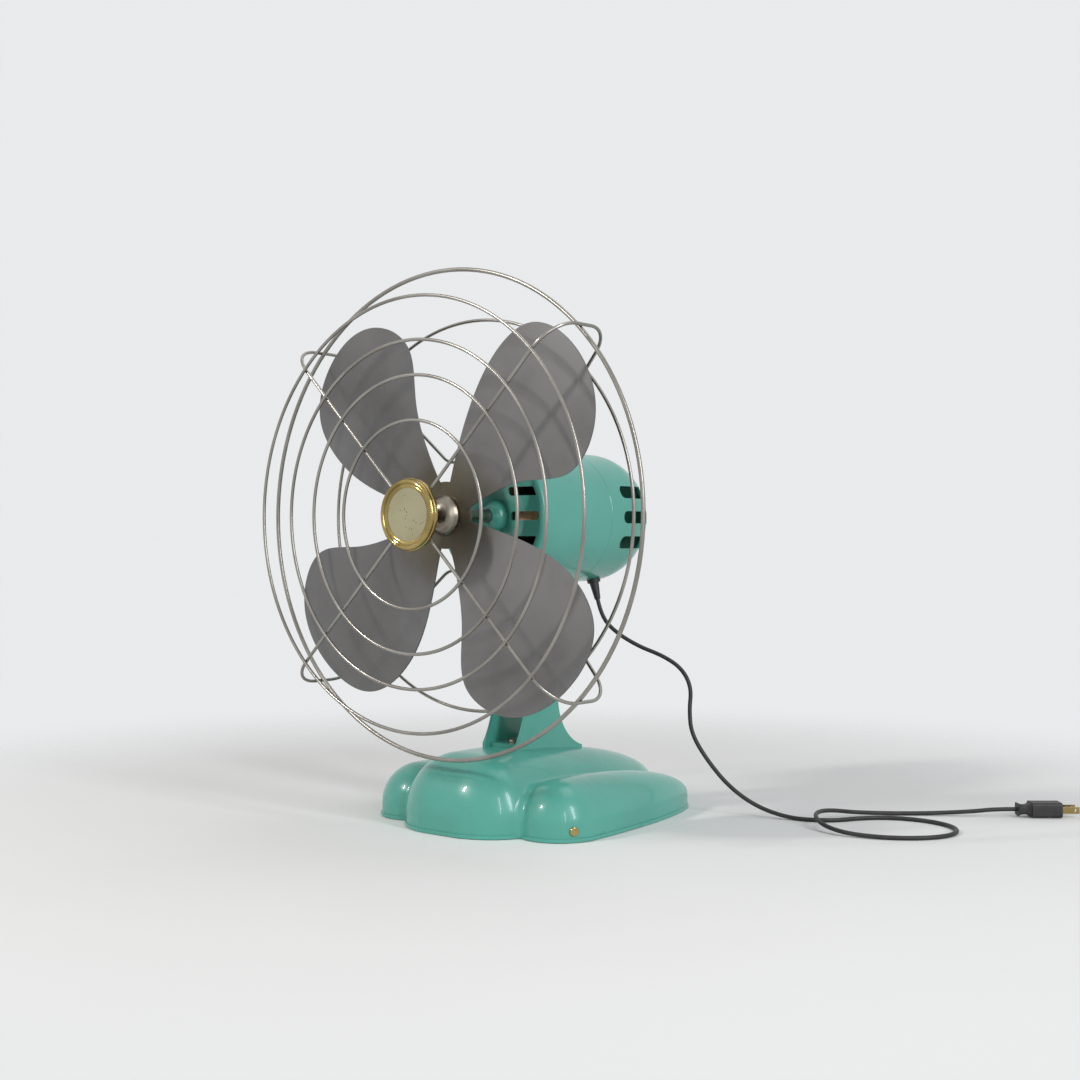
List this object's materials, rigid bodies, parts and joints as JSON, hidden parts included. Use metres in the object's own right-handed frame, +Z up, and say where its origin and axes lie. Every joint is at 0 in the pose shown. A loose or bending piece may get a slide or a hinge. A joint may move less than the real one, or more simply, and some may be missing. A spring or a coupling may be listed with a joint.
{
  "type": "desk fan",
  "caption": "Desk fan with broad paddle blades in an open wire guard, a domed tilting motor on a sheet yoke, a streamlined lobed base and a trailing mains cord with a flat-blade plug.",
  "frame": {"origin": "on the table, under the middle of the fan's bounding box without its cord", "axes": "+Z up, -Y towards the front guard and badge, +X to the right seen from the front"},
  "size_m": [0.6348, 0.489, 0.5024],
  "materials": {
    "mint_paint": "gloss",
    "nickel_wire": "satin",
    "blade_metal": "satin",
    "turned_steel": "satin",
    "zinc_steel": "satin",
    "brass": "polished",
    "cream_enamel": "gloss",
    "black_rubber": "matte",
    "cord_rubber": "matte",
    "plug_rubber": "matte",
    "copper": "varnished",
    "laminated_steel": "matte"
  },
  "bodies": {
    "stand": {"base_shell": "mint_paint", "base_bottom_plate": "zinc_steel", "base_feet": "black_rubber", "base_side_screws": "brass", "yoke": "mint_paint", "yoke_screws": "zinc_steel", "yoke_nuts": "zinc_steel", "tilt_bolt": "turned_steel", "tilt_nut": "turned_steel", "tilt_washers": "zinc_steel", "cord_drop": "cord_rubber", "cord_floor": "cord_rubber", "plug_body": "plug_rubber", "plug_blades": "brass"},
    "head": {"front_housing": "mint_paint", "rear_housing": "mint_paint", "housing_screws": "zinc_steel", "tilt_bracket": "mint_paint", "bracket_rivets": "zinc_steel", "tilt_spacer": "zinc_steel", "stator_core": "laminated_steel", "stator_windings": "copper", "front_bearing": "brass", "rear_bearing": "brass", "cord_grommet": "black_rubber", "guard_ring_1": "nickel_wire", "guard_ring_2": "nickel_wire", "guard_ring_3": "nickel_wire", "guard_ring_4": "nickel_wire", "guard_ring_5": "nickel_wire", "guard_rear_ring": "nickel_wire", "guard_frame_upper": "nickel_wire", "guard_frame_lower": "nickel_wire", "guard_clips": "nickel_wire", "guard_clip_screws": "nickel_wire", "badge_bezel": "brass", "badge_disc": "cream_enamel", "badge_backplate": "nickel_wire", "badge_screw": "zinc_steel"},
    "rotor": {"shaft": "turned_steel", "rotor_core": "laminated_steel", "fan_blades": "blade_metal", "hub": "turned_steel", "hub_clamp": "turned_steel", "hub_grub_screw": "zinc_steel", "front_thrust_washer": "zinc_steel", "front_collar": "zinc_steel", "rear_thrust_washer": "zinc_steel", "rear_collar": "zinc_steel"}
  },
  "joints": [
    {"name": "head_tilt", "type": "hinge", "parent": "stand", "child": "head", "pos_m": [0, -0.005, 0.1975], "axis": [1, 0, 0], "range_deg": [-25, 4], "deforming": ["cord_drop"]},
    {"name": "blade_spin", "type": "hinge", "parent": "head", "child": "rotor", "pos_m": [0, 0, 0.2835], "axis": [0, 1, 0], "continuous": true}
  ]
}
